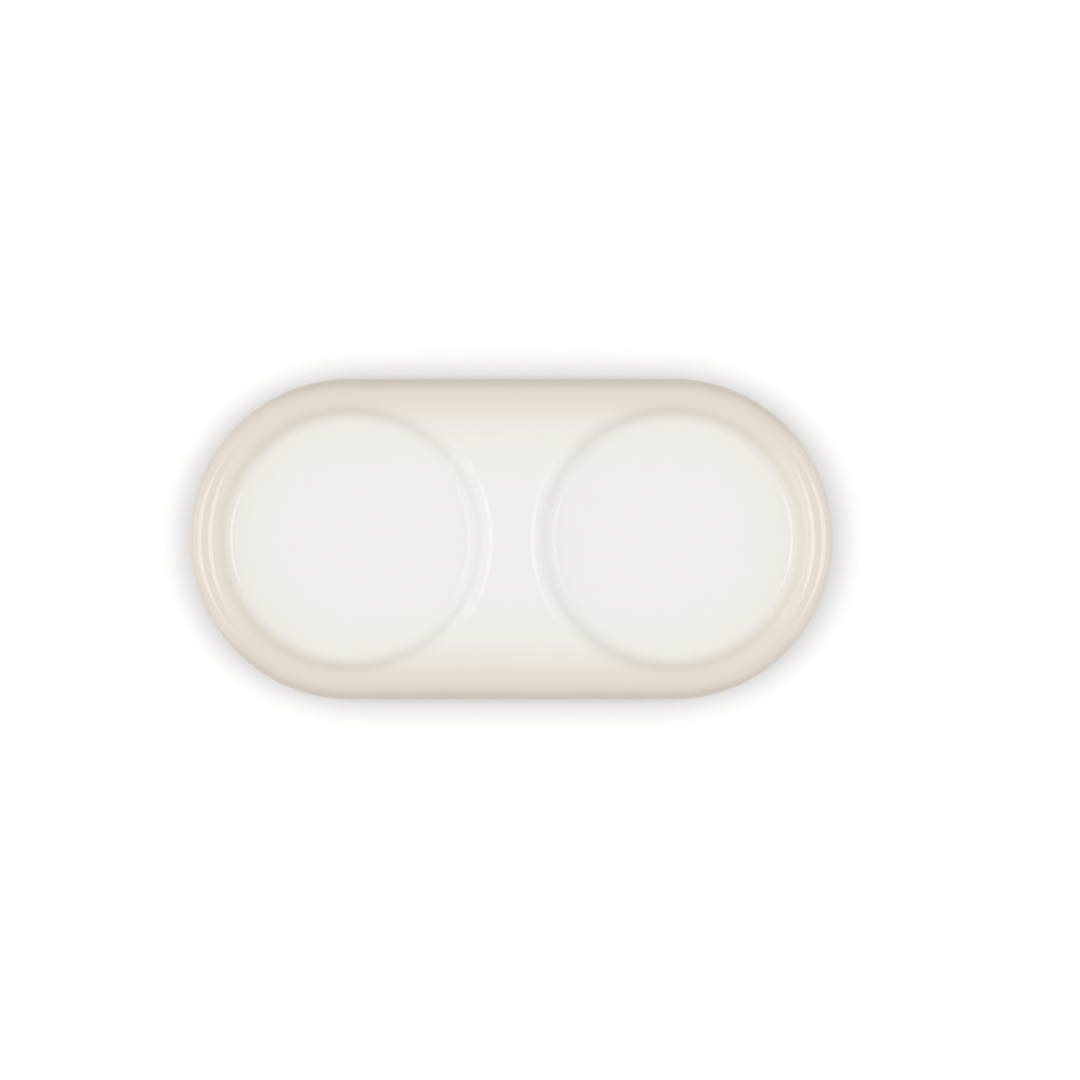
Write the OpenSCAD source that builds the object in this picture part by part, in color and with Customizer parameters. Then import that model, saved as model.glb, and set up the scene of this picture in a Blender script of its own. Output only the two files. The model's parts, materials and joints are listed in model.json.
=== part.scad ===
// Two-well tray for a pair of table mills: a pressed stoneware slab with round ends,
// glazed all over except for the ring that it stands on.
// The origin is the middle of the standing plane, +X runs through both wells and +Z is up.

/* [Wells] */
// Diameter of a well's flat floor, where the base of a mill stands
floor_d = 63.9; // [50:0.1:80]
// Depth of a well below the rim
well_depth = 4.2; // [3.4:0.1:7]
// Distance across the sloping wall, from the edge of the floor out to the mouth
wall_run = 7.35; // [5.8:0.05:12]
// Radius of the soft edge at the mouth of a well, as far as the wall leaves room for it
lip_round = 4.7; // [1.5:0.1:7]
// Radius of the hollow where the wall runs into the floor
floor_round = 3.6; // [2:0.1:4]

/* [Rim] */
// Width of the rim from the mouth of a well out to the side of the tray
rim_w = 4.7; // [4.6:0.1:12]
// Radius that rounds the rim over into the side
rim_round = 3.6; // [2:0.1:4.4]
// Level land between the two wells at its narrowest
waist = 9.8; // [4:0.2:30]

/* [Side and base] */
// Thickness of the tray under the wells, glaze included
floor_t = 6.8; // [5:0.1:10]
// Inward lean of the side below the rim, in degrees
side_draft = 8; // [0:1:15]
// Radius that turns the side under the tray
base_round = 4.5; // [3:0.1:5.4]

/* [Foot] */
// Height of the bare foot ring below the glazed base
foot_h = 2; // [1.6:0.1:4]
// Width of the foot ring
foot_w = 3.6; // [3:0.1:6]
// Width of the glazed ledge outside the foot ring
foot_ledge = 2.4; // [1:0.1:5]
// Radius on the two lower edges of the foot ring
foot_edge = 0.8; // [0.3:0.1:1.2]

/* [Glaze] */
// Thickness of the fired glaze
glaze_t = 0.4; // [0.2:0.05:0.6]

/* [Hidden] */
$fn = 180;

// Share of the room beside the wall that its two roundings may fill, so that a straight stretch stays
rounding_share = 0.98;
// Extra reach of a cut past the face that it opens
cut_reach = 1;
// Depth at which a sloping flank ends inside the roundings that it meets, so that they cross cleanly
flank_sink = 0.002;

// Sizes that follow from the wells: each end of the tray is round about the centre of its well
floor_r = floor_d / 2;
mouth_r = floor_r + wall_run;
end_r = mouth_r + rim_w;
well_pitch = 2 * mouth_r + waist;
floor_z = foot_h + floor_t;
tray_h = floor_z + well_depth;

// The two roundings of a well touch each other when they fill all the room between floor and mouth
rounding_room = (wall_run * wall_run + well_depth * well_depth) / (2 * well_depth);
lip_r = min(lip_round, rounding_share * rounding_room - floor_round);

// Section of a well: a wall that lies along the line that touches both rounding circles
floor_centre = [floor_r, floor_z + floor_round];
lip_centre = [mouth_r, tray_h - lip_r];
centre_line = lip_centre - floor_centre;
wall_slope = atan2(centre_line.y, centre_line.x) + asin((lip_r + floor_round) / norm(centre_line));
wall_normal = [-sin(wall_slope), cos(wall_slope)];

// Section of the side: a leaning wall between the rim's rounding and the base's rounding
side_normal = [cos(side_draft), -sin(side_draft)];
rim_centre = [end_r - rim_round, tray_h - rim_round];
base_centre_z = foot_h + base_round;
base_lean = (rim_centre.y - base_centre_z) * tan(side_draft);
base_centre = [rim_centre.x - base_lean + (rim_round - base_round) / cos(side_draft), base_centre_z];

// The foot ring stands in from where the base turns level
foot_outer_r = base_centre.x - foot_ledge;
foot_inner_r = foot_outer_r - foot_w;

glaze_colour = "#efe8dc";
clay_colour = "#cdb897";

// Carries a section drawn for x > 0 round the tray: half a turn at each end, straight runs between
module around_tray() {
    for (end = [0, 180])
        rotate([0, 0, end])
            translate([well_pitch / 2, 0, 0])
                rotate([0, 0, -90])
                    rotate_extrude(angle = 180)
                        children();
    rotate([90, 0, 90])
        linear_extrude(well_pitch, center = true)
            for (side = [0, 1])
                mirror([side, 0])
                    children();
}

// Puts a copy at the centre of each well
module at_wells() {
    for (side = [-1, 1])
        translate([side * well_pitch / 2, 0, 0])
            children();
}

// Round stretch of a section
module round_at(centre, radius) {
    translate(centre)
        circle(radius);
}

// Section of the tray without its wells, drawn in from its finished surface by inset
module slab_section(inset) {
    polygon([
        [0, foot_h + inset],
        [base_centre.x, foot_h + inset],
        base_centre + (base_round - inset - flank_sink) * side_normal,
        rim_centre + (rim_round - inset - flank_sink) * side_normal,
        [rim_centre.x, tray_h - inset],
        [0, tray_h - inset]
    ]);
    round_at(base_centre, base_round - inset);
    round_at(rim_centre, rim_round - inset);
}

// Section of the hollow of a well, drawn out from its finished surface by inset
module well_section(inset) {
    difference() {
        union() {
            polygon([
                [0, floor_z - inset],
                [floor_r, floor_z - inset],
                floor_centre - (floor_round + inset - flank_sink) * wall_normal,
                lip_centre + (lip_r - inset - flank_sink) * wall_normal,
                [mouth_r, tray_h - inset],
                [mouth_r, tray_h + cut_reach],
                [0, tray_h + cut_reach]
            ]);
            round_at(floor_centre, floor_round + inset);
        }
        round_at(lip_centre, lip_r - inset);
    }
}

// The slab with its two wells: the finished surface at inset 0, the fired clay at the glaze's thickness
module welled_slab(inset) {
    difference() {
        around_tray()
            slab_section(inset);
        at_wells()
            rotate_extrude()
                well_section(inset);
    }
}

// Section of the foot ring, which grows out of the clay above it
module foot_section() {
    root_z = foot_h + glaze_t + cut_reach;
    translate([foot_inner_r, foot_edge])
        square([foot_w, root_z - foot_edge]);
    translate([foot_inner_r + foot_edge, 0])
        square([foot_w - 2 * foot_edge, root_z]);
    for (edge_x = [foot_inner_r + foot_edge, foot_outer_r - foot_edge])
        round_at([edge_x, foot_edge], foot_edge);
}

// Fired clay: the slab under the glaze and the bare ring that the tray stands on
module stoneware_body() {
    color(clay_colour) {
        welled_slab(glaze_t);
        around_tray()
            foot_section();
    }
}

// Glaze over the top, the wells, the rim and the side, and under the base as far as the foot ring
module top_glaze() {
    color(glaze_colour)
        difference() {
            welled_slab(0);
            welled_slab(glaze_t);
            around_tray()
                square([foot_outer_r, foot_h + glaze_t + cut_reach]);
        }
}

// Glaze on the underside within the foot ring
module underside_glaze() {
    color(glaze_colour)
        around_tray()
            translate([0, foot_h])
                square([foot_inner_r, glaze_t]);
}

stoneware_body();
top_glaze();
underside_glaze();
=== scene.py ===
"""Low tray of cream-glazed stoneware with two wells for table mills, seen from straight above."""
import json
import math

import bpy
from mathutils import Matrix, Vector


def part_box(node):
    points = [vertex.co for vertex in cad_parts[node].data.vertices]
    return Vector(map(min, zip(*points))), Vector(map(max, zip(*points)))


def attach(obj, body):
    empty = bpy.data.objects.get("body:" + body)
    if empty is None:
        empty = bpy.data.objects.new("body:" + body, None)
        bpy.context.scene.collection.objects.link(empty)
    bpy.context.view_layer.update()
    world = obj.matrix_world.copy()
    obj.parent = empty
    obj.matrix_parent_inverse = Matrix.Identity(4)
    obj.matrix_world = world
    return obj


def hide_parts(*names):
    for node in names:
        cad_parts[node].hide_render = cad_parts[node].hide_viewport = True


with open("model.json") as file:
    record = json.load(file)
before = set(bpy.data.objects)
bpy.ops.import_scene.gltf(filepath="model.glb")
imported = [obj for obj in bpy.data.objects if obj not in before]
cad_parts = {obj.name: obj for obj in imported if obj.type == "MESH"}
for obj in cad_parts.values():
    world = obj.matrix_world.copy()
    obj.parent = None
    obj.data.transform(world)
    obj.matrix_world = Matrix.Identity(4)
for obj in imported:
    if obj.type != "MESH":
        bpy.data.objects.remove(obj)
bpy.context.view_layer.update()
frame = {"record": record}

MM = 0.001
DEGREE = math.radians(1)
QUARTER_TURN = 90 * DEGREE
HALF_TURN = 180 * DEGREE

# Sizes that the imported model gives
mounts = {mount["name"]: mount["pos_m"] for mount in frame["record"]["mounts"]}
glaze_low, glaze_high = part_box("top_glaze")
pan_low, pan_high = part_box("underside_glaze")
END_RADIUS = glaze_high.y
RIM_HEIGHT = glaze_high.z
BASE_HEIGHT = glaze_low.z
GLAZE_THICKNESS = pan_high.z - pan_low.z
FOOT_INNER_RADIUS = pan_high.y
WELL_OFFSET = glaze_high.x - glaze_high.y
FLOOR_HEIGHT = mounts["right_well_floor"][2]

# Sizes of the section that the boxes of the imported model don't show
FLOOR_RADIUS = 31.95 * MM
MOUTH_RADIUS = 39.3 * MM
LIP_ROUNDING = 4.7 * MM
FLOOR_ROUNDING = 3.6 * MM
BASE_ROUNDING = 4.5 * MM
SIDE_LEAN = 8 * DEGREE
FOOT_WIDTH = 3.6 * MM
FOOT_EDGE = 0.8 * MM
# The rim turns over as a soft crown and then as a tighter edge
RIM_CROWN = 5.0 * MM
RIM_CROWN_TURN = 20 * DEGREE
RIM_EDGE = 2.7 * MM

# Where the edge of the glaze stops short of the foot ring, and how far it wanders there
GLAZE_LINE_GAP = 0.45 * MM
GLAZE_LINE_WANDER = 0.3 * MM
GLAZE_LINE_WAVE = 14 * MM

# Level strip beside each rounding, which keeps the shading of the flat land flat
COLLAR = 0.3 * MM
# Width of the strip inside the bead of the underside's glaze
PAN_STRIP = 4 * COLLAR
# Points nearer than this are one point
WELD = 1e-6
# Steps round half a turn of the rim, along a straight side and round a well
END_COLUMNS = 120
SIDE_COLUMNS = 40
WELL_COLUMNS = 180
# Steps along the stretches of the section
FLOOR_ROWS = 4
WALL_ROWS = 3
WELL_BEND_ROWS = 12
RIM_BEND_ROWS = 10
SIDE_ROWS = 2
BASE_BEND_ROWS = 12
LEDGE_ROWS = 2
BEAD_ROWS = 6
FOOT_ROWS = 3
FOOT_BEND_ROWS = 6


def wall_of_well():
    """Slope and length of the straight wall that touches both roundings of a well."""
    across = MOUTH_RADIUS - FLOOR_RADIUS
    up = RIM_HEIGHT - FLOOR_HEIGHT - LIP_ROUNDING - FLOOR_ROUNDING
    reach = math.hypot(across, up)
    roundings = LIP_ROUNDING + FLOOR_ROUNDING
    slope = math.atan2(up, across) + math.asin(roundings / reach)
    return slope, math.sqrt(reach ** 2 - roundings ** 2)


def rim_of_tray():
    """How far the rim reaches in from the outline, and how far below its top the outline is widest."""
    step = RIM_CROWN - RIM_EDGE
    return RIM_EDGE + step * math.sin(RIM_CROWN_TURN), RIM_CROWN - step * math.cos(RIM_CROWN_TURN)


def side_of_tray(rim_drop):
    """Length of the leaning side, and the radius at which the rounding below it turns level."""
    drop = RIM_HEIGHT - rim_drop - BASE_HEIGHT - BASE_ROUNDING
    lean_in = drop * math.tan(SIDE_LEAN) - (RIM_EDGE - BASE_ROUNDING) / math.cos(SIDE_LEAN)
    length = lean_in * math.sin(SIDE_LEAN) + drop * math.cos(SIDE_LEAN)
    return length, END_RADIUS - RIM_EDGE - lean_in


WALL_SLOPE, WALL_LENGTH = wall_of_well()
RIM_REACH, RIM_DROP = rim_of_tray()
SIDE_LENGTH, BASE_RADIUS = side_of_tray(RIM_DROP)

# The named inputs of the trees that make the tray's three pieces
TRAY_SIZES = {
    "Well offset": WELL_OFFSET,
    "Land radius": END_RADIUS - RIM_REACH,
    "Rim height": RIM_HEIGHT,
    "Rim crown": RIM_CROWN,
    "Rim crown turn": RIM_CROWN_TURN,
    "Rim edge": RIM_EDGE,
    "Side lean": SIDE_LEAN,
    "Side length": SIDE_LENGTH,
    "Base rounding": BASE_ROUNDING,
    "Base radius": BASE_RADIUS,
    "Base height": BASE_HEIGHT,
    "Floor height": FLOOR_HEIGHT,
    "Floor radius": FLOOR_RADIUS,
    "Floor rounding": FLOOR_ROUNDING,
    "Wall slope": WALL_SLOPE,
    "Wall length": WALL_LENGTH,
    "Lip rounding": LIP_ROUNDING,
    "Foot inner radius": FOOT_INNER_RADIUS,
    "Foot width": FOOT_WIDTH,
    "Foot edge": FOOT_EDGE,
    "Glaze thickness": GLAZE_THICKNESS,
    "Glaze line gap": GLAZE_LINE_GAP,
    "Glaze line wander": GLAZE_LINE_WANDER,
    "Glaze line wave": GLAZE_LINE_WAVE,
    "Collar": COLLAR,
    "Pan strip": PAN_STRIP,
}


class Value:
    """An output of a node, with the operators that the expressions use."""

    def __init__(self, tree, socket):
        self.tree = tree
        self.socket = socket

    def __add__(self, other):
        return maths("ADD", self, other)

    def __radd__(self, other):
        return maths("ADD", other, self)

    def __sub__(self, other):
        return maths("SUBTRACT", self, other)

    def __rsub__(self, other):
        return maths("SUBTRACT", other, self)

    def __mul__(self, other):
        return maths("MULTIPLY", self, other)

    def __rmul__(self, other):
        return maths("MULTIPLY", other, self)

    def __truediv__(self, other):
        return maths("DIVIDE", self, other)

    def __rtruediv__(self, other):
        return maths("DIVIDE", other, self)


class Tree:
    """A node tree in the making: node() adds one node and gives back one of its outputs."""

    def __init__(self, tree):
        self.tree = tree

    def node(self, kind, sockets=(), output=0, stops=(), **settings):
        made = self.tree.nodes.new(kind)
        for name, setting in settings.items():
            setattr(made, name, setting)
        for index, (position, colour) in enumerate(stops):
            elements = made.color_ramp.elements
            stop = elements[index] if index < 2 else elements.new(position)
            stop.position = position
            stop.color = (*colour, 1)
        for key, value in dict(sockets).items():
            for each in value if isinstance(value, list) else [value]:
                self.put(made.inputs[key], each)
        return Value(self, made.outputs[output]) if made.outputs else made

    def put(self, socket, value):
        if isinstance(value, Value):
            self.tree.links.new(value.socket, socket)
        else:
            socket.default_value = value


def maths(operation, *terms):
    """A Math node over values and numbers."""
    tree = next(term.tree for term in terms if isinstance(term, Value))
    return tree.node("ShaderNodeMath", dict(enumerate(terms)), operation=operation)


def sine(angle):
    return maths("SINE", angle) if isinstance(angle, Value) else math.sin(angle)


def cosine(angle):
    return maths("COSINE", angle) if isinstance(angle, Value) else math.cos(angle)


def share(value):
    """The value kept between 0 and 1."""
    return maths("MINIMUM", maths("MAXIMUM", value, 0), 1)


def coordinate(tree, spot, axis):
    return tree.node("ShaderNodeSeparateXYZ", {"Vector": spot}, output=axis)


def noise(tree, spot, wave, detail=2):
    """Smooth noise about zero, with its main waves this long."""
    value = tree.node("ShaderNodeTexNoise", {"Vector": spot, "Scale": 1 / wave, "Detail": detail})
    return value - 0.5


def straight(length, rows=1):
    return {"length": length, "rows": rows}


def left_bend(radius, turn, rows):
    return {"radius": radius, "turn": turn, "rows": rows}


def right_bend(radius, turn, rows):
    return {"radius": radius * -1, "turn": turn * -1, "rows": rows}


def corner(turn):
    """A sharp change of heading, to the left where it is positive."""
    return {"corner": turn, "rows": 0}


def rows_of(stretches):
    return sum(stretch["rows"] for stretch in stretches)


def follow(row, start, stretches, heading=0):
    """Radius and height of each row of points along a section of straights and arcs."""
    radius, height = start
    for stretch in stretches:
        if "corner" in stretch:
            heading = heading + stretch["corner"]
            continue
        part = share(row / stretch["rows"])
        if "length" in stretch:
            run = part * stretch["length"]
            radius = radius + run * cosine(heading)
            height = height + run * sine(heading)
        else:
            turned = heading + part * stretch["turn"]
            radius = radius + (sine(turned) - sine(heading)) * stretch["radius"]
            height = height + (cosine(heading) - cosine(turned)) * stretch["radius"]
            heading = heading + stretch["turn"]
        row = row - stretch["rows"]
    return radius, height


def grid(tree, columns, rows):
    """A sheet of quads, with the column and the row of each of its points."""
    sheet = tree.node("GeometryNodeMeshGrid", {"Vertices X": columns + 1, "Vertices Y": rows + 1})
    index = tree.node("GeometryNodeInputIndex")
    column = maths("FLOOR", (index + 0.5) / (rows + 1))
    return sheet, column, index - column * (rows + 1)


def placed(tree, sheet, x, y, z):
    """The sheet with its points in place and its seam and pole welded, facing left of its section."""
    spot = tree.node("ShaderNodeCombineXYZ", {"X": x, "Y": y, "Z": z})
    moved = tree.node("GeometryNodeSetPosition", {"Geometry": sheet, "Position": spot})
    welded = tree.node("GeometryNodeMergeByDistance", {"Geometry": moved, "Distance": WELD})
    return turned_over(tree, welded)


def round_the_tray(tree, size, section):
    """Sweeps a section round the tray: half a turn at each end and a straight run along each side."""
    rows = rows_of(section(0)[1])
    sheet, column, row = grid(tree, 2 * (END_COLUMNS + SIDE_COLUMNS), rows)
    left_end = column - END_COLUMNS - SIDE_COLUMNS
    turned = share(column / END_COLUMNS) + share(left_end / END_COLUMNS)
    far_side = share((column - END_COLUMNS) / SIDE_COLUMNS)
    near_side = share((left_end - END_COLUMNS) / SIDE_COLUMNS)
    angle = turned * HALF_TURN - QUARTER_TURN
    middle = size["Well offset"] * (1 - 2 * (far_side - near_side))
    wander = wandering(tree, size, middle, angle)
    radius, height = follow(row, *section(wander))
    return placed(tree, sheet, middle + radius * cosine(angle), radius * sine(angle), height)


def wandering(tree, size, middle, angle):
    """How far the edge of the glaze strays from its line, from place to place round the tray."""
    reach = size["Foot inner radius"]
    x = middle + reach * cosine(angle)
    spot = tree.node("ShaderNodeCombineXYZ", {"X": x, "Y": reach * sine(angle)})
    return noise(tree, spot, size["Glaze line wave"], 3) * 2 * size["Glaze line wander"]


def round_the_wells(tree, size, start, stretches):
    """Revolves a section about the centre of each well."""
    sheet, column, row = grid(tree, WELL_COLUMNS, rows_of(stretches))
    angle = column * (2 * HALF_TURN / WELL_COLUMNS)
    radius, height = follow(row, start, stretches)
    wells = []
    for side in (-1, 1):
        x = side * size["Well offset"] + radius * cosine(angle)
        wells.append(placed(tree, sheet, x, radius * sine(angle), height))
    return joined(tree, wells)


def joined(tree, parts):
    return tree.node("GeometryNodeJoinGeometry", {"Geometry": parts[::-1]})


def turned_over(tree, mesh):
    return tree.node("GeometryNodeFlipFaces", {"Mesh": mesh})


def filled(tree, mesh, level):
    """A flat sheet inside the open edges that a mesh has at one level, facing up."""
    faces = tree.node("GeometryNodeInputMeshEdgeNeighbors")
    is_open = tree.node("FunctionNodeCompare", {2: faces, 3: 1}, data_type="INT", operation="EQUAL")
    height = coordinate(tree, tree.node("GeometryNodeInputPosition"), "Z")
    at_level = tree.node(
        "FunctionNodeCompare", {0: height, 1: level, "Epsilon": WELD}, data_type="FLOAT", operation="EQUAL"
    )
    edges = tree.node("FunctionNodeBooleanMath", {0: is_open, 1: at_level}, operation="AND")
    outline = tree.node("GeometryNodeMeshToCurve", {"Mesh": mesh, "Selection": edges})
    sheet = tree.node("GeometryNodeFillCurve", {"Curve": outline})
    lift = tree.node("ShaderNodeCombineXYZ", {"Z": level})
    return tree.node("GeometryNodeSetPosition", {"Geometry": sheet, "Offset": lift})


def well_section(size, inset):
    """Section of a well from its centre out to the land, set back from the finished surface by inset."""
    start = (0, size["Floor height"] - inset)
    stretches = [
        straight(size["Floor radius"] - size["Collar"], FLOOR_ROWS),
        straight(size["Collar"]),
        left_bend(size["Floor rounding"] + inset, size["Wall slope"], WELL_BEND_ROWS),
        straight(size["Wall length"], WALL_ROWS),
        right_bend(size["Lip rounding"] - inset, size["Wall slope"], WELL_BEND_ROWS),
        straight(size["Collar"]),
    ]
    return start, stretches


def edge_turn(size):
    """How far the edge of the rim turns, from the crown to the leaning side."""
    return size["Side lean"] + QUARTER_TURN - size["Rim crown turn"]


def down_the_side(size, inset):
    """Stretches from the land over the rim and down the side to where the base turns level."""
    return [
        straight(size["Collar"]),
        right_bend(size["Rim crown"] - inset, size["Rim crown turn"], RIM_BEND_ROWS),
        right_bend(size["Rim edge"] - inset, edge_turn(size), RIM_BEND_ROWS),
        straight(size["Side length"], SIDE_ROWS),
        right_bend(size["Base rounding"] - inset, QUARTER_TURN - size["Side lean"], BASE_BEND_ROWS),
    ]


def up_the_side(size, inset):
    """The same stretches the other way."""
    return [
        left_bend(size["Base rounding"] - inset, QUARTER_TURN - size["Side lean"], BASE_BEND_ROWS),
        straight(size["Side length"], SIDE_ROWS),
        left_bend(size["Rim edge"] - inset, edge_turn(size), RIM_BEND_ROWS),
        left_bend(size["Rim crown"] - inset, size["Rim crown turn"], RIM_BEND_ROWS),
        straight(size["Collar"]),
    ]


def ledge_of_base(size):
    """Width of the level base outside the foot ring."""
    return size["Base radius"] - size["Foot inner radius"] - size["Foot width"]


def glaze_coat_shape(tree, size):
    """The coat over the top and side: its face, its bead beside the foot ring and its hidden back."""
    thickness = size["Glaze thickness"]
    land = size["Land radius"] - size["Collar"]

    def section(wander):
        glazed = ledge_of_base(size) - size["Glaze line gap"] - wander
        return (land, size["Rim height"]), [
            *down_the_side(size, 0),
            straight(glazed - thickness, LEDGE_ROWS),
            right_bend(thickness, QUARTER_TURN, BEAD_ROWS),
            corner(-QUARTER_TURN),
            straight(glazed),
            *up_the_side(size, thickness),
        ]

    rim = round_the_tray(tree, size, section)
    face = round_the_wells(tree, size, *well_section(size, 0))
    back = turned_over(tree, round_the_wells(tree, size, *well_section(size, thickness)))
    skin = joined(tree, [rim, face, back])
    land_face = filled(tree, skin, size["Rim height"])
    land_back = turned_over(tree, filled(tree, skin, size["Rim height"] - thickness))
    return joined(tree, [skin, land_face, land_back])


def clay_body_shape(tree, size):
    """The fired clay: the slab that the glaze covers and the bare ring under it."""
    thickness = size["Glaze thickness"]
    land = size["Land radius"] - size["Collar"]
    foot_drop = size["Base height"] + thickness - size["Foot edge"]

    def section(_):
        return (land, size["Rim height"] - thickness), [
            *down_the_side(size, thickness),
            straight(ledge_of_base(size)),
            corner(QUARTER_TURN),
            straight(foot_drop, FOOT_ROWS),
            right_bend(size["Foot edge"], QUARTER_TURN, FOOT_BEND_ROWS),
            straight(size["Foot width"] - 2 * size["Foot edge"], FOOT_ROWS),
            right_bend(size["Foot edge"], QUARTER_TURN, FOOT_BEND_ROWS),
            straight(foot_drop, FOOT_ROWS),
            corner(QUARTER_TURN),
            straight(size["Collar"]),
        ]

    slab = round_the_tray(tree, size, section)
    wells = round_the_wells(tree, size, *well_section(size, thickness))
    skin = joined(tree, [slab, wells])
    top = filled(tree, skin, size["Rim height"] - thickness)
    underside = turned_over(tree, filled(tree, skin, size["Base height"] + thickness))
    return joined(tree, [skin, top, underside])


def pan_glaze_shape(tree, size):
    """The field of glaze on the underside, with a bead where it stops short of the foot ring."""
    thickness = size["Glaze thickness"]

    def section(wander):
        edge = size["Foot inner radius"] - size["Glaze line gap"] - wander
        inner = edge - thickness - size["Pan strip"]
        return (inner, size["Base height"] + thickness), [
            straight(edge - inner),
            corner(-QUARTER_TURN),
            right_bend(thickness, QUARTER_TURN, BEAD_ROWS),
            straight(edge - inner - thickness, LEDGE_ROWS),
        ]

    edge = round_the_tray(tree, size, section)
    face = turned_over(tree, filled(tree, edge, size["Base height"]))
    back = filled(tree, edge, size["Base height"] + thickness)
    return joined(tree, [edge, face, back])


def made_by_tree(name, shape, finish):
    """A piece whose mesh comes from a geometry node tree with the tray's sizes as its inputs."""
    group = bpy.data.node_groups.new(name, "GeometryNodeTree")
    identifiers = {}
    for label in TRAY_SIZES:
        socket = group.interface.new_socket(label, in_out="INPUT", socket_type="NodeSocketFloat")
        identifiers[label] = socket.identifier
    group.interface.new_socket("Geometry", in_out="OUTPUT", socket_type="NodeSocketGeometry")
    tree = Tree(group)
    inputs = group.nodes.new("NodeGroupInput")
    size = {label: Value(tree, inputs.outputs[label]) for label in TRAY_SIZES}
    welded = tree.node("GeometryNodeMergeByDistance", {"Geometry": shape(tree, size), "Distance": WELD})
    smooth = tree.node("GeometryNodeSetShadeSmooth", {"Geometry": welded})
    real = tree.node("GeometryNodeRealizeInstances", {"Geometry": smooth})
    finished = tree.node("GeometryNodeSetMaterial", {"Geometry": real, "Material": finish})
    tree.node("NodeGroupOutput", {"Geometry": finished})

    piece = bpy.data.objects.new(name, bpy.data.meshes.new(name))
    bpy.context.scene.collection.objects.link(piece)
    modifier = piece.modifiers.new("Shape", "NODES")
    modifier.node_group = group
    for label, number in TRAY_SIZES.items():
        modifier[identifiers[label]] = number
    evaluated = piece.evaluated_get(bpy.context.evaluated_depsgraph_get())
    mesh = bpy.data.meshes.new_from_object(evaluated)
    piece.modifiers.remove(modifier)
    piece.data = mesh
    mesh.name = name
    return piece


# The glaze from the edge of the rim inwards or down the side: distance, and colour in linear light. It is
# beige at the rim and pales inwards; the darkest colours next to the rim's edge are partly painted shade of
# the rounding turning away from the light
GLAZE_TONES_AND_EDGE_SHADE = (
    (0.5 * MM, (0.612, 0.557, 0.468)),
    (1.6 * MM, (0.622, 0.566, 0.485)),
    (3.0 * MM, (0.708, 0.645, 0.565)),
    (4.5 * MM, (0.746, 0.68, 0.598)),
    (8.0 * MM, (0.775, 0.722, 0.634)),
    (10.5 * MM, (0.808, 0.768, 0.69)),
    (16.0 * MM, (0.845, 0.815, 0.77)),
    (24.0 * MM, (0.85, 0.838, 0.806)),
    (31.0 * MM, (0.852, 0.847, 0.833)),
)
GLAZE_REACH = GLAZE_TONES_AND_EDGE_SHADE[-1][0]
# How far the shades wander, and over what distance
SHADE_WANDER = 1.5 * MM
SHADE_WAVE = 25 * MM
# Painted light: how much further in the rim counts at the round ends, where the lamps light it, so that it
# renders lighter there than along the sides, and how far in that goes
END_PAINTED_LIGHT = 2.4 * MM
END_LIGHT_REACH = 12 * MM
# How much further in the glaze counts as where it pools in a well, and how soon it does
POOLING = 4 * MM
POOL_EDGE = 2 * MM
# Faint clouds in the glaze
MOTTLE_WAVE = 4 * MM
MOTTLE_CONTRAST = 1.5
MOTTLE_LEVEL = 0.3
MOTTLE_TINT = (0.93, 0.90, 0.86)
MOTTLE_STRENGTH = 0.15
# How glassy the glaze is at the edge of the tray, and how far in it turns plain
EDGE_GLASSINESS = 0.6
GLASSY_REACH = 30 * MM

# Gloss of both coats of glaze, and the waves in their surface
GLAZE_IOR = 1.38
GLAZE_ROUGHNESS = 0.12
ROUGHNESS_SPREAD = 0.08
ROUGHNESS_WAVE = 9 * MM
COAT_ROUGHNESS = 0.08
GLAZE_WAVE = 6 * MM
GLAZE_WAVE_DEPTH = 0.006 * MM
GLAZE_RIPPLE = 1.5 * MM
RIPPLE_SHARE = 0.2

# The coat under the tray, which is paler in places
PAN_PALE = (0.79, 0.745, 0.67)
PAN_DEEP = (0.755, 0.69, 0.60)
PAN_WAVE = 9 * MM
PAN_CONTRAST = 1.6
PAN_LEVEL = 0.4
PAN_GLASSINESS = 0.3

# The bare clay: its clouds, its grit and its dark specks
CLAY_SHADES = ((0.2, (0.55, 0.46, 0.35)), (0.8, (0.68, 0.595, 0.475)))
CLAY_CLOUD = 6 * MM
CLOUD_CONTRAST = 1.4
CLAY_GRIT = 0.35 * MM
GRIT_CONTRAST = 0.5
SPECK_SPACING = 1.1 * MM
SPECK_SIZE = 0.16
SPECK_EDGE = 12
SPECK_TINT = (0.55, 0.47, 0.40)
CLAY_ROUGHNESS = 0.82
GRIT_ROUGHNESS = 0.15
CLAY_LUMP = 1.2 * MM
LUMP_SHARE = 0.4
CLAY_DEPTH = 0.05 * MM

# Places of the colour sockets of a Mix node
MIX_FACTOR = 0
MIX_FIRST = 6
MIX_SECOND = 7
MIX_RESULT = 2


def material(name):
    made = bpy.data.materials.new(name)
    made.use_nodes = True
    made.node_tree.nodes.clear()
    return made, Tree(made.node_tree)


def ramp(tree, value, stops):
    return tree.node("ShaderNodeValToRGB", {"Fac": value}, stops=stops)


def mixed(tree, amount, first, second, blend_type="MIX"):
    """The first colour with the second mixed in, as far as the amount says."""
    sockets = {MIX_FACTOR: amount, MIX_FIRST: first, MIX_SECOND: second}
    return tree.node("ShaderNodeMix", sockets, MIX_RESULT, data_type="RGBA", blend_type=blend_type)


def tinted(tree, colour, tint, amount):
    """The colour multiplied by a tint, as far as the amount says."""
    return mixed(tree, amount, colour, (*tint, 1), "MULTIPLY")


def bump(tree, height, depth):
    return tree.node("ShaderNodeBump", {"Height": height, "Distance": depth, "Strength": 1})


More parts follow.
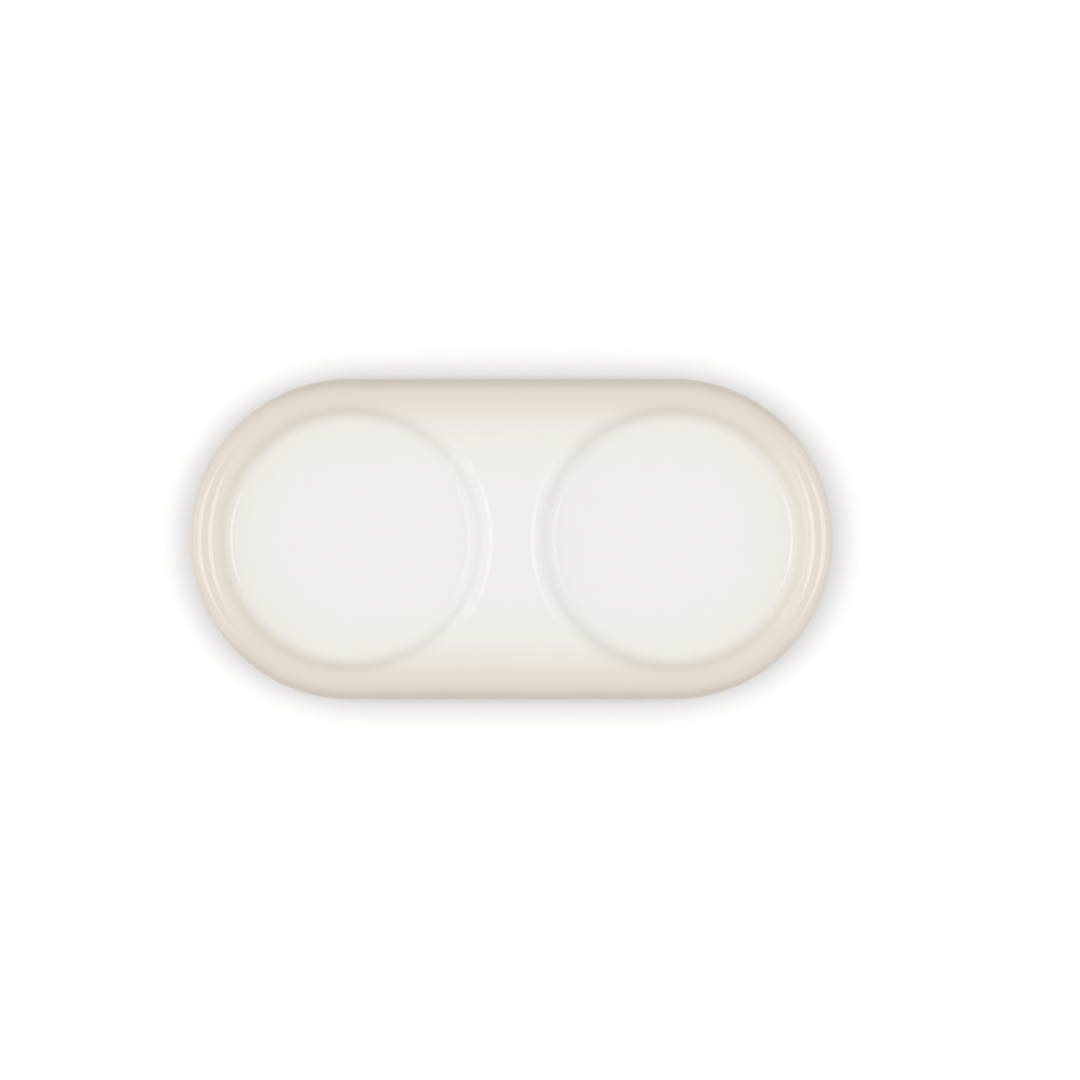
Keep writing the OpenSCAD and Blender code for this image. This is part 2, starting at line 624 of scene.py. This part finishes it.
def from_edge(along, across, height):
    """How far a point lies inside the rim's edge or below it, with the rim at the round ends counted
    further in, which paints light on the ends.
    """
    past_well = maths("MAXIMUM", along, 0)
    inside = END_RADIUS - maths("SQRT", past_well * past_well + across * across)
    # Painted light: the round ends count further in, so their rim renders lighter
    end_light_share = past_well / END_RADIUS * share(1 - inside / END_LIGHT_REACH)
    return maths("MAXIMUM", inside + END_PAINTED_LIGHT * end_light_share, RIM_HEIGHT - RIM_DROP - height)


def pooled(along, across):
    """Rises to one where the wall of a well runs into its floor, on which the glaze pools."""
    from_centre = maths("SQRT", along * along + across * across)
    return share((FLOOR_RADIUS + POOL_EDGE - from_centre) / POOL_EDGE)


def glossy(tree, spot, colour, glassiness):
    """The glossy surface that both coats of glaze share, with the faint waves of a fired glaze."""
    waves = noise(tree, spot, GLAZE_WAVE, 1)
    ripple = noise(tree, spot, GLAZE_RIPPLE, 1)
    sockets = {
        "Base Color": colour,
        "Roughness": GLAZE_ROUGHNESS + ROUGHNESS_SPREAD * noise(tree, spot, ROUGHNESS_WAVE, 3),
        "IOR": GLAZE_IOR,
        "Coat Weight": glassiness,
        "Coat Roughness": COAT_ROUGHNESS,
        "Normal": bump(tree, waves + RIPPLE_SHARE * ripple, GLAZE_WAVE_DEPTH),
    }
    shader = tree.node("ShaderNodeBsdfPrincipled", sockets)
    tree.node("ShaderNodeOutputMaterial", {"Surface": shader})


def cream_glaze():
    """Glaze that is beige at the rim and pales to near white in the wells, with painted light on the rim at
    the round ends and painted shade at the rim's edge.
    """
    made, tree = material("cream_glaze")
    spot = tree.node("ShaderNodeTexCoord", output="Object")
    along = maths("ABSOLUTE", coordinate(tree, spot, "X")) - WELL_OFFSET
    across = coordinate(tree, spot, "Y")
    wander = SHADE_WANDER * noise(tree, spot, SHADE_WAVE)
    # The distance carries the painted light at the round ends, and the ramp's darkest colours at the rim's
    # edge are painted shade
    distance = from_edge(along, across, coordinate(tree, spot, "Z")) + wander
    stops = [(depth / GLAZE_REACH, colour) for depth, colour in GLAZE_TONES_AND_EDGE_SHADE]
    shade = ramp(tree, (distance + POOLING * pooled(along, across)) / GLAZE_REACH, stops)
    mottle = share(noise(tree, spot, MOTTLE_WAVE, 5) * MOTTLE_CONTRAST + MOTTLE_LEVEL)
    glassiness = EDGE_GLASSINESS * (1 - share(distance / GLASSY_REACH))
    glossy(tree, spot, tinted(tree, shade, MOTTLE_TINT, MOTTLE_STRENGTH * mottle), glassiness)
    return made


def underside_cream():
    """The plainer coat under the tray."""
    made, tree = material("underside_cream")
    spot = tree.node("ShaderNodeTexCoord", output="Object")
    mottle = share(noise(tree, spot, PAN_WAVE, 5) * PAN_CONTRAST + PAN_LEVEL)
    shade = mixed(tree, mottle, (*PAN_PALE, 1), (*PAN_DEEP, 1))
    glossy(tree, spot, shade, PAN_GLASSINESS)
    return made


def bare_stoneware():
    """Unglazed fired clay: sandy and matt, with fine grit and a few dark specks."""
    made, tree = material("bare_stoneware")
    spot = tree.node("ShaderNodeTexCoord", output="Object")
    cloud = noise(tree, spot, CLAY_CLOUD, 4)
    grit = noise(tree, spot, CLAY_GRIT, 3)
    body = ramp(tree, cloud * CLOUD_CONTRAST + grit * GRIT_CONTRAST + 0.5, CLAY_SHADES)
    specks = tree.node("ShaderNodeTexVoronoi", {"Vector": spot, "Scale": 1 / SPECK_SPACING})
    speck = share((SPECK_SIZE - specks) * SPECK_EDGE)
    lumps = noise(tree, spot, CLAY_LUMP)
    sockets = {
        "Base Color": tinted(tree, body, SPECK_TINT, speck),
        "Roughness": CLAY_ROUGHNESS + GRIT_ROUGHNESS * grit,
        "Normal": bump(tree, grit + LUMP_SHARE * lumps, CLAY_DEPTH),
    }
    shader = tree.node("ShaderNodeBsdfPrincipled", sockets)
    tree.node("ShaderNodeOutputMaterial", {"Surface": shader})
    return made


# How pale the floor is to the light that it throws back at the tray
FLOOR_WHITE = 0.9
# The floor as it is seen: its own shade, with the tray's shadow, and a glow dimmed round the tray by
# ambient occlusion, which is a painted soft shadow, with how far that painted shadow reaches
FLOOR_SHADE = 0.45
FLOOR_GLOW = 0.7
PAINTED_SHADOW_REACH = 0.1
# Half the floor's width, and where it starts to fade into the room
FLOOR_SIZE = 0.6
FLOOR_FADE = 0.3
# Light of the room, and of what is seen of it
ROOM_LIGHT = 0.6
ROOM_WHITE = 1


def grey(level):
    return (level, level, level, 1)


def plainly_seen(tree):
    """One for the rays of the camera, a reflection or a view through glass, and nothing for the rest."""
    seen = tree.node("ShaderNodeLightPath", output="Is Camera Ray")
    for ray in ("Is Glossy Ray", "Is Transmission Ray"):
        seen = maths("MAXIMUM", seen, tree.node("ShaderNodeLightPath", output=ray))
    return seen


def white_floor():
    """A pale floor that renders white where light reaches it and keeps the tray's shadow, deepened by a
    painted soft shadow from ambient occlusion.
    """
    made, tree = material("white_floor")
    spot = tree.node("ShaderNodeTexCoord", output="Object")
    reach = tree.node("ShaderNodeVectorMath", {0: spot}, output="Value", operation="LENGTH")
    fade = share((FLOOR_SIZE - reach) / (FLOOR_SIZE - FLOOR_FADE))
    # Painted shadow: the glow is dimmed by ambient occlusion where the tray crowds the floor
    painted_shadow_ao = tree.node("ShaderNodeAmbientOcclusion", {"Distance": PAINTED_SHADOW_REACH}, output="AO")
    white = tree.node("ShaderNodeBsdfDiffuse", {"Color": grey(FLOOR_WHITE)})
    shaded = tree.node("ShaderNodeBsdfDiffuse", {"Color": grey(FLOOR_SHADE)})
    glow_with_painted_shadow = tree.node("ShaderNodeEmission", {"Strength": FLOOR_GLOW * painted_shadow_ao})
    clear = tree.node("ShaderNodeBsdfTransparent")
    shown = tree.node("ShaderNodeAddShader", {0: shaded, 1: glow_with_painted_shadow})
    solid = tree.node("ShaderNodeMixShader", {0: plainly_seen(tree), 1: white, 2: shown})
    faded = tree.node("ShaderNodeMixShader", {0: fade, 1: clear, 2: solid})
    tree.node("ShaderNodeOutputMaterial", {"Surface": faded})

    mesh = bpy.data.meshes.new("floor")
    corners = [(FLOOR_SIZE * x, FLOOR_SIZE * y, 0) for x, y in ((-1, -1), (1, -1), (1, 1), (-1, 1))]
    mesh.from_pydata(corners, [], [(0, 1, 2, 3)])
    mesh.materials.append(made)
    floor = bpy.data.objects.new("floor", mesh)
    bpy.context.scene.collection.objects.link(floor)


def white_room():
    """Even light from all round, which is plain white where the camera or a reflection sees it."""
    world = bpy.data.worlds.new("white_room")
    bpy.context.scene.world = world
    world.use_nodes = True
    world.node_tree.nodes.clear()
    tree = Tree(world.node_tree)
    strength = ROOM_LIGHT + (ROOM_WHITE - ROOM_LIGHT) * plainly_seen(tree)
    sky = tree.node("ShaderNodeBackground", {"Color": grey(1), "Strength": strength})
    tree.node("ShaderNodeOutputWorld", {"Surface": sky})


LAMP_DISTANCE = 5.0
# Each pair of lamps, one over each end: angle down from overhead, sizes down and across for each metre
# of distance, and brightness of the left one and the right one
LAMP_PAIRS = {
    "top_strip": (15 * DEGREE, 0.245, 0.26, (2.8, 2.8)),
    "strip": (29 * DEGREE, 0.245, 0.26, (2.3, 2.5)),
    "panel": (29 * DEGREE, 0.245, 0.83, (0.75, 0.92)),
    "side_panel": (56 * DEGREE, 0.24, 1.4, (1.5, 1.15)),
    "low_panel": (77 * DEGREE, 0.42, 1.73, (0.57, 0.35)),
}


def softbox(name, side, zenith, down, across, brightness):
    """A soft rectangular lamp over one end of the tray, facing it."""
    light = bpy.data.lights.new(name, "AREA")
    light.shape = "RECTANGLE"
    light.size = down * LAMP_DISTANCE
    light.size_y = across * LAMP_DISTANCE
    light.energy = brightness * math.pi * light.size * light.size_y
    lamp = bpy.data.objects.new(name, light)
    lamp.location = Vector((side * math.sin(zenith), 0, math.cos(zenith))) * LAMP_DISTANCE
    lamp.rotation_euler = (0, side * zenith, 0)
    bpy.context.scene.collection.objects.link(lamp)


def studio_lamps():
    for name, (zenith, down, across, (left, right)) in LAMP_PAIRS.items():
        softbox("left_" + name, -1, zenith, down, across, left)
        softbox("right_" + name, 1, zenith, down, across, right)


CAMERA_HEIGHT = 8.0
SENSOR = 36
# What the photograph takes in: its width and middle, at this height above the table
FRAME_WIDTH = 0.2959
FRAME_CENTRE = (0.00779, -0.00025)
FRAME_LEVEL = 0.0094


def top_camera():
    """Looks straight down, with the tray left of the middle as the photograph has it."""
    camera = bpy.data.cameras.new("top_camera")
    camera.sensor_width = SENSOR
    camera.lens = SENSOR * CAMERA_HEIGHT / FRAME_WIDTH
    camera.clip_end = 2 * CAMERA_HEIGHT
    viewer = bpy.data.objects.new("top_camera", camera)
    viewer.location = (*FRAME_CENTRE, FRAME_LEVEL + CAMERA_HEIGHT)
    bpy.context.scene.collection.objects.link(viewer)
    bpy.context.scene.camera = viewer


bpy.context.scene.view_settings.view_transform = "Standard"
pieces = {
    "glaze_coat": (glaze_coat_shape, cream_glaze(), "top_glaze", "cream_glaze"),
    "clay_body": (clay_body_shape, bare_stoneware(), "stoneware_body", "bare_stoneware"),
    "pan_glaze": (pan_glaze_shape, underside_cream(), "underside_glaze", "cream_glaze"),
}
for name, (shape, finish, node, slot) in pieces.items():
    piece = made_by_tree(name, shape, finish)
    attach(piece, "root")
    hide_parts(node)
white_floor()
white_room()
studio_lamps()
top_camera()
